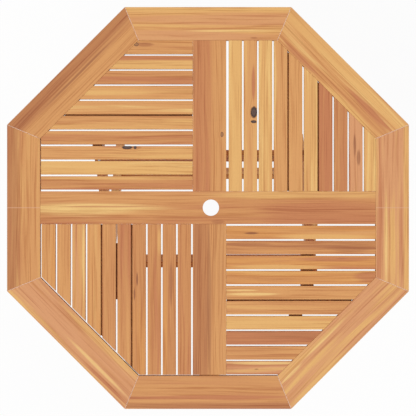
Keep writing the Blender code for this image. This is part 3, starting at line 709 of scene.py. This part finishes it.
def disc(name, radius, depth, sides):
    """A disc whose outer face lies on the ground plane and looks up, its body below it."""
    bpy.ops.object.select_all(action='DESELECT')
    bpy.ops.mesh.primitive_cylinder_add(vertices=sides, radius=radius, depth=depth,
                                        location=(0, 0, -depth / 2))
    obj = bpy.context.object
    obj.name = obj.data.name = name
    bpy.ops.object.transform_apply()
    return obj


def cut_away(obj, cutter):
    """Take one solid out of another."""
    bpy.ops.object.select_all(action='DESELECT')
    bpy.context.view_layer.objects.active = obj
    obj.select_set(True)
    cut = obj.modifiers.new("cut", 'BOOLEAN')
    cut.operation = 'DIFFERENCE'
    cut.solver = 'EXACT'
    cut.object = cutter
    bpy.ops.object.modifier_apply(modifier="cut")
    bpy.data.objects.remove(cutter)


def screw_head(radius):
    """A flat countersunk head with a cross recess, as it shows in the face of a board."""
    head = disc("screw_head", radius, SCREW_DEPTH, 24)
    select_faces(head, looks_up)
    bpy.ops.mesh.bevel(offset=SCREW_ROUNDING, segments=2, affect='EDGES')
    bpy.ops.object.mode_set(mode='OBJECT')
    reach, width = RECESS_REACH * radius, RECESS_WIDTH * radius
    for arm in ((reach, width), (width, reach)):
        bpy.ops.mesh.primitive_cube_add(size=2, scale=(*arm, RECESS_DEPTH))
        cutter = bpy.context.object
        bpy.ops.object.transform_apply()
        cut_away(head, cutter)
    bpy.ops.object.shade_smooth_by_angle(angle=ROUNDED_ANGLE)
    return head


def bolt_head(radius, depth, shank_radius, shank_length):
    """A low domed head with a hexagonal socket, and its shank."""
    head = disc("bolt_head", radius, depth, 32)
    select_faces(head, looks_up)
    bpy.ops.mesh.bevel(offset=BOLT_DOME * depth, segments=4, affect='EDGES')
    select_faces(head, looks_down)
    bpy.ops.mesh.inset(thickness=radius - shank_radius)
    bpy.ops.mesh.extrude_region_move(TRANSFORM_OT_translate={"value": (0, 0, -shank_length)})
    bpy.ops.object.mode_set(mode='OBJECT')
    bpy.ops.mesh.primitive_cylinder_add(vertices=6, radius=SOCKET_REACH * radius, depth=depth)
    cut_away(head, bpy.context.object)
    bpy.ops.object.shade_smooth_by_angle(angle=ROUNDED_ANGLE)
    return head


def washer(radius, depth):
    """A flat washer with its rim broken."""
    ring = disc("washer", radius, depth, 32)
    select_faces(ring, lambda face: looks_up(face) or looks_down(face))
    bpy.ops.mesh.bevel(offset=BROKEN_EDGE * depth, segments=2, affect='EDGES')
    bpy.ops.object.mode_set(mode='OBJECT')
    bpy.ops.object.shade_smooth_by_angle(angle=ROUNDED_ANGLE)
    return ring


def nut(radius, depth):
    """A thin hexagonal nut with the bolt's end standing in it."""
    body = disc("nut", radius, depth, 6)
    select_faces(body, looks_up)
    bpy.ops.mesh.bevel(offset=BROKEN_EDGE * depth, segments=2, affect='EDGES')
    bpy.ops.mesh.inset(thickness=NUT_RIM * radius, depth=-NUT_DISH)
    bpy.ops.object.mode_set(mode='OBJECT')
    select_faces(body, lambda face: looks_up(face)
                 and face.center.xy.length < BOLT_END_WITHIN * radius)
    bpy.ops.mesh.inset(thickness=BOLT_END_INSET * radius, depth=BOLT_END_RISE)
    bpy.ops.object.mode_set(mode='OBJECT')
    bpy.ops.object.shade_smooth_by_angle(angle=ROUNDED_ANGLE)
    return body


def place_copy(model, name, spot, outwards, spin=0.0):
    """Copy a fitting with its own mesh, its outer face at a spot and looking outwards."""
    copy = model.copy()
    copy.data = model.data.copy()
    copy.name = copy.data.name = name
    bpy.context.collection.objects.link(copy)
    turn = Vector(outwards).to_track_quat('Z', 'X').to_matrix().to_4x4()
    copy.matrix_world = Matrix.Translation(spot) @ turn @ Matrix.Rotation(spin, 4, 'Z')
    bpy.ops.object.select_all(action='DESELECT')
    bpy.context.view_layer.objects.active = copy
    copy.select_set(True)
    bpy.ops.object.transform_apply()
    copy.data.materials.clear()
    copy.data.materials.append(zinc_plated_steel(bpy.context.scene.garden_table_tones))
    return copy


def discard(obj):
    """Delete a model that has been copied to its places."""
    bpy.data.objects.remove(obj)


class GARDENTABLE_OT_rim(bpy.types.Operator):
    """Round the eight rim boards and oil them, with a pale line at each mitre"""
    bl_idname = "garden_table.rim"
    bl_label = "Rim Boards"

    def execute(self, context):
        oil_boards(context, ["rim_" + side for side in RIM_SIDES])
        return {'FINISHED'}


class GARDENTABLE_OT_rails(bpy.types.Operator):
    """Round and oil the cross rail with its parasol hole and the two short rails"""
    bl_idname = "garden_table.rails"
    bl_label = "Rails"

    def execute(self, context):
        oil_boards(context, ("cross_rail", "north_rail", "south_rail"))
        return {'FINISHED'}


class GARDENTABLE_OT_slats(bpy.types.Operator):
    """Round and oil the four fields of slats and the battens under them"""
    bl_idname = "garden_table.slats"
    bl_label = "Slats"

    def execute(self, context):
        fields = ("nw_slat", "ne_slat", "sw_slat", "se_slat")
        oil_boards(context, [name for name in BOARD_TONES if name.startswith(fields)])
        return {'FINISHED'}


class GARDENTABLE_OT_leg_frames(bpy.types.Operator):
    """Round and oil the four legs and the three bars between them"""
    bl_idname = "garden_table.leg_frames"
    bl_label = "Leg Frames"

    def execute(self, context):
        oil_boards(context,
                   [name for name in BOARD_TONES if "_leg_" in name or name.endswith("_bar")],
                   "leg_edge")
        return {'FINISHED'}


class GARDENTABLE_OT_blocks(bpy.types.Operator):
    """Round and oil the rest blocks and the two cleats under the top"""
    bl_idname = "garden_table.blocks"
    bl_label = "Blocks"

    def execute(self, context):
        oil_boards(context, ("rest_block_left", "rest_block_right", "hinge_cleat_left",
                             "slat_cleat_right"))
        return {'FINISHED'}


class GARDENTABLE_OT_hinges(bpy.types.Operator):
    """Finish the hinge brackets in steel and add the pins' heads and the flange screws"""
    bl_idname = "garden_table.hinges"
    bl_label = "Hinge Brackets"

    def execute(self, context):
        sizes = context.scene.garden_table_sizes
        rivet = bolt_head(sizes.rivet_head / 2, RIVET_DEPTH, RIVET_SHANK_RADIUS,
                          RIVET_SHANK_LENGTH)
        screw = screw_head(sizes.screw_head / 2)
        for side, sign in SIDES:
            name = "hinge_bracket_" + side
            dress(name, zinc_plated_steel(context.scene.garden_table_tones), sizes.plate_edge)
            low, high = map(Vector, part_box(name))
            outer = (high if sign > 0 else low).x
            head = place_copy(rivet, "hinge_pin_head_" + side,
                              (outer + sign * RIVET_DEPTH, HINGE.y, HINGE.z), (sign, 0, 0))
            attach(head, "table_top")
            rows = (HINGE.y - FLANGE_SCREW_Y, HINGE.y + FLANGE_SCREW_Y)
            for number, y in enumerate(rows, 1):
                spot = ((low.x + high.x) / 2, y, high.z - FLANGE_THICKNESS - SCREW_PROUD)
                piece = place_copy(screw, f"flange_screw_{side}_{number}", spot, (0, 0, -1),
                                   FLANGE_SCREW_TURN * number)
                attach(piece, "table_top")
        discard(rivet)
        discard(screw)
        return {'FINISHED'}


class GARDENTABLE_OT_scissor_bolts(bpy.types.Operator):
    """Add the bolts that the leg frames turn on: domed head outside, washer and nut inside"""
    bl_idname = "garden_table.scissor_bolts"
    bl_label = "Scissor Bolts"

    def execute(self, context):
        sizes = context.scene.garden_table_sizes
        nut_depth = BOLT_HEAD_DEPTH - WASHER_DEPTH
        for side, sign in SIDES:
            name = "scissor_bolt_" + side
            low, high = map(Vector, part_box(name))
            radius = (high.z - low.z) / 2
            outer, inner = (high.x, low.x) if sign > 0 else (low.x, high.x)
            shank_length = high.x - low.x - BOLT_HEAD_DEPTH - BOLT_END_SHORT
            head = bolt_head(radius, BOLT_HEAD_DEPTH, BOLT_RADIUS, shank_length)
            bolt = place_copy(head, name + "_domed", (outer, CROSSING.y, CROSSING.z),
                              (sign, 0, 0))
            discard(head)
            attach(bolt, "outer_leg_frame")
            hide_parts(name)
            model = washer(radius, WASHER_DEPTH)
            ring = place_copy(model, "scissor_washer_" + side,
                              (inner + sign * nut_depth, CROSSING.y, CROSSING.z),
                              (-sign, 0, 0))
            discard(model)
            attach(ring, "outer_leg_frame")
            model = nut(sizes.nut_width / 2, nut_depth)
            piece = place_copy(model, "scissor_nut_" + side, (inner, CROSSING.y, CROSSING.z),
                               (-sign, 0, 0), NUT_TURN)
            discard(model)
            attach(piece, "outer_leg_frame")
        return {'FINISHED'}


class GARDENTABLE_OT_top_screws(bpy.types.Operator):
    """Add the screws under the top: through the battens, the rest blocks and the cleat"""
    bl_idname = "garden_table.top_screws"
    bl_label = "Screws Under the Top"

    def execute(self, context):
        sizes = context.scene.garden_table_sizes
        spots = []
        for name in BOARD_TONES:
            if name.endswith("_on_batten"):
                spots += self.batten_spots(name, sizes.screw_spacing)
            elif name.startswith("rest_block"):
                spots += self.block_spots(name)
            elif name == "slat_cleat_right":
                spots += self.cleat_spots(name)
        screw = screw_head(sizes.screw_head / 2)
        for i, (name, spot) in enumerate(spots):
            spot.z -= SCREW_PROUD
            piece = place_copy(screw, name, spot, (0, 0, -1), TOP_SCREW_TURN * i)
            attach(piece, "table_top")
        discard(screw)
        return {'FINISHED'}

    def batten_spots(self, name, spacing):
        """Two staggered rows, measured from the rail end, because the rim end may slant."""
        low, high = map(Vector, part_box(name))
        middle = (low + high) / 2
        axis = 0 if name[:2] in ("nw", "se") else 1
        outwards = math.copysign(1, middle[axis])
        rail_end = low[axis] if outwards > 0 else high[axis]
        run = high[axis] - low[axis] - BATTEN_END_RIM - BATTEN_END_RAIL
        count = max(2, round(run / spacing) + 1)
        spots = []
        for i in range(count):
            spot = middle.copy()
            spot[axis] = rail_end + outwards * (BATTEN_END_RAIL + run * i / (count - 1))
            spot[1 - axis] += BATTEN_SCREW_SIDE * (1 if i % 2 else -1)
            spot.z = low.z
            spots.append((f"{name[:8]}batten_screw_{i + 1:02d}", spot))
        return spots

    def block_spots(self, name):
        """A row of two along the inner side of a rest block."""
        low, high = map(Vector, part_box(name))
        x = low.x + BLOCK_SCREW_SIDE if low.x > 0 else high.x - BLOCK_SCREW_SIDE
        return [(f"{name}_screw_{i}", Vector((x, y, low.z)))
                for i, y in enumerate((low.y + BLOCK_SCREW_END, high.y - BLOCK_SCREW_END), 1)]

    def cleat_spots(self, name):
        """One in each of the two slats that a cleat joins."""
        low, high = map(Vector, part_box(name))
        middle = (low + high) / 2
        return [(f"{name}_screw_{i}", Vector((middle.x, middle.y + side, low.z)))
                for i, side in enumerate((-CLEAT_SCREW_SIDE, CLEAT_SCREW_SIDE), 1)]


class GARDENTABLE_OT_frame_screws(bpy.types.Operator):
    """Add the screws that hold the bars to the legs"""
    bl_idname = "garden_table.frame_screws"
    bl_label = "Screws of the Leg Frames"

    def execute(self, context):
        screw = screw_head(context.scene.garden_table_sizes.screw_head / 2)
        # Out of the outer top bar's upper face
        upper = Vector((0, -abs(OUTER_DOWN.z), abs(OUTER_DOWN.y)))
        low, high = map(Vector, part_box("outer_frame_top_bar"))
        face = (low + high) / 2 + upper * (OUTER_BAR_THICKNESS / 2 + SCREW_PROUD)
        for side, sign in SIDES:
            low, high = map(Vector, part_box("outer_leg_" + side))
            for i, along in enumerate((-BAR_SCREW_SIDE, BAR_SCREW_SIDE), 1):
                spot = face + OUTER_DOWN * along
                spot.x = (low.x + high.x) / 2
                piece = place_copy(screw, f"outer_top_bar_screw_{side}_{i}", spot, upper,
                                   BAR_SCREW_TURN * i)
                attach(piece, "outer_leg_frame")
            low, high = map(Vector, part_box("inner_leg_" + side))
            outer_face = (high if sign > 0 else low).x + sign * SCREW_PROUD
            for bar in ("inner_frame_top_bar", "inner_frame_foot_bar"):
                low, high = map(Vector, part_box(bar))
                for i, along in enumerate((-BAR_SCREW_SIDE, BAR_SCREW_SIDE), 1):
                    spot = (low + high) / 2 + INNER_DOWN * along
                    spot.x = outer_face
                    piece = place_copy(screw, f"{bar}_screw_{side}_{i}", spot, (sign, 0, 0),
                                       BAR_SCREW_TURN * i)
                    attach(piece, "inner_leg_frame")
        discard(screw)
        return {'FINISHED'}


class GARDENTABLE_OT_stage(bpy.types.Operator):
    """Add the white floor, plain soft light and the camera straight above the table"""
    bl_idname = "garden_table.stage"
    bl_label = "Stage"

    def execute(self, context):
        scene = context.scene
        bpy.ops.mesh.primitive_plane_add(size=FLOOR_SIZE)
        floor = context.object
        floor.name = "floor"
        mat, tree, shader = new_material("white_studio_floor")
        shader.inputs["Base Color"].default_value = (*linear("F0F0F0"), 1)
        shader.inputs["Roughness"].default_value = 0.9
        seen = self.seen_rays(tree)
        part = node(tree, "ShaderNodeMath", (seen, FLOOR_WHITE), operation='MULTIPLY')
        white = node(tree, "ShaderNodeEmission", {"Color": (1, 1, 1, 1), "Strength": 1.0})
        mixed = node(tree, "ShaderNodeMixShader", (part, shader, white))
        tree.links.new(mixed.outputs[0], tree.nodes["Material Output"].inputs["Surface"])
        floor.data.materials.append(mat)

        world = bpy.data.worlds.new("white_studio")
        scene.world = world
        world.use_nodes = True
        tree = world.node_tree
        sky = tree.nodes["Background"]
        sky.inputs["Color"].default_value = (1, 1, 1, 1)
        level = node(tree, "ShaderNodeMapRange", (self.seen_rays(tree), 0.0, 1.0, AMBIENT, 1.0))
        tree.links.new(level.outputs[0], sky.inputs["Strength"])

        for name, turn, strength, width in LAMPS:
            lamp = bpy.data.lights.new(name, 'SUN')
            lamp.energy = strength
            lamp.angle = math.radians(width)
            obj = bpy.data.objects.new(name, lamp)
            obj.rotation_euler = Euler([math.radians(a) for a in turn])
            scene.collection.objects.link(obj)

        camera = bpy.data.cameras.new("camera_above")
        camera.lens = CAMERA_LENS
        camera.sensor_width = SENSOR_WIDTH
        obj = bpy.data.objects.new("camera_above", camera)
        obj.location = (0, 0, CAMERA_HEIGHT)
        scene.collection.objects.link(obj)
        scene.camera = obj
        scene.view_settings.view_transform = 'Standard'
        return {'FINISHED'}

    def seen_rays(self, tree):
        """One for rays from the camera, in reflections and through glass, nothing for light."""
        path = node(tree, "ShaderNodeLightPath")
        some = node(tree, "ShaderNodeMath",
                    (path.outputs["Is Camera Ray"], path.outputs["Is Glossy Ray"]),
                    operation='MAXIMUM')
        return node(tree, "ShaderNodeMath", (some, path.outputs["Is Transmission Ray"]),
                    operation='MAXIMUM')


class GARDENTABLE_PT_panel(bpy.types.Panel):
    """The table's pieces, in the order in which they are made"""
    bl_idname = "GARDENTABLE_PT_panel"
    bl_label = "Garden Table"
    bl_space_type = 'VIEW_3D'
    bl_region_type = 'UI'
    bl_category = "Garden Table"

    def draw(self, context):
        for group in (context.scene.garden_table_tones, context.scene.garden_table_sizes):
            for name in group.__annotations__:
                self.layout.prop(group, name)
        for operator in OPERATORS:
            self.layout.operator(operator.bl_idname)


OPERATORS = (GARDENTABLE_OT_rim, GARDENTABLE_OT_rails, GARDENTABLE_OT_slats,
             GARDENTABLE_OT_leg_frames, GARDENTABLE_OT_blocks, GARDENTABLE_OT_hinges,
             GARDENTABLE_OT_scissor_bolts, GARDENTABLE_OT_top_screws,
             GARDENTABLE_OT_frame_screws, GARDENTABLE_OT_stage)
CLASSES = (GARDENTABLE_PG_tones, GARDENTABLE_PG_sizes, *OPERATORS, GARDENTABLE_PT_panel)


def register():
    for cls in CLASSES:
        bpy.utils.register_class(cls)
    bpy.types.Scene.garden_table_tones = PointerProperty(type=GARDENTABLE_PG_tones)
    bpy.types.Scene.garden_table_sizes = PointerProperty(type=GARDENTABLE_PG_sizes)


def unregister():
    del bpy.types.Scene.garden_table_sizes
    del bpy.types.Scene.garden_table_tones
    for cls in reversed(CLASSES):
        bpy.utils.unregister_class(cls)


def main():
    """Make every piece in order."""
    register()
    bpy.ops.object.select_all(action='DESELECT')
    bpy.ops.garden_table.rim()
    bpy.ops.garden_table.rails()
    bpy.ops.garden_table.slats()
    bpy.ops.garden_table.leg_frames()
    bpy.ops.garden_table.blocks()
    bpy.ops.garden_table.hinges()
    bpy.ops.garden_table.scissor_bolts()
    bpy.ops.garden_table.top_screws()
    bpy.ops.garden_table.frame_screws()
    bpy.ops.garden_table.stage()


if __name__ == "__main__":
    main()
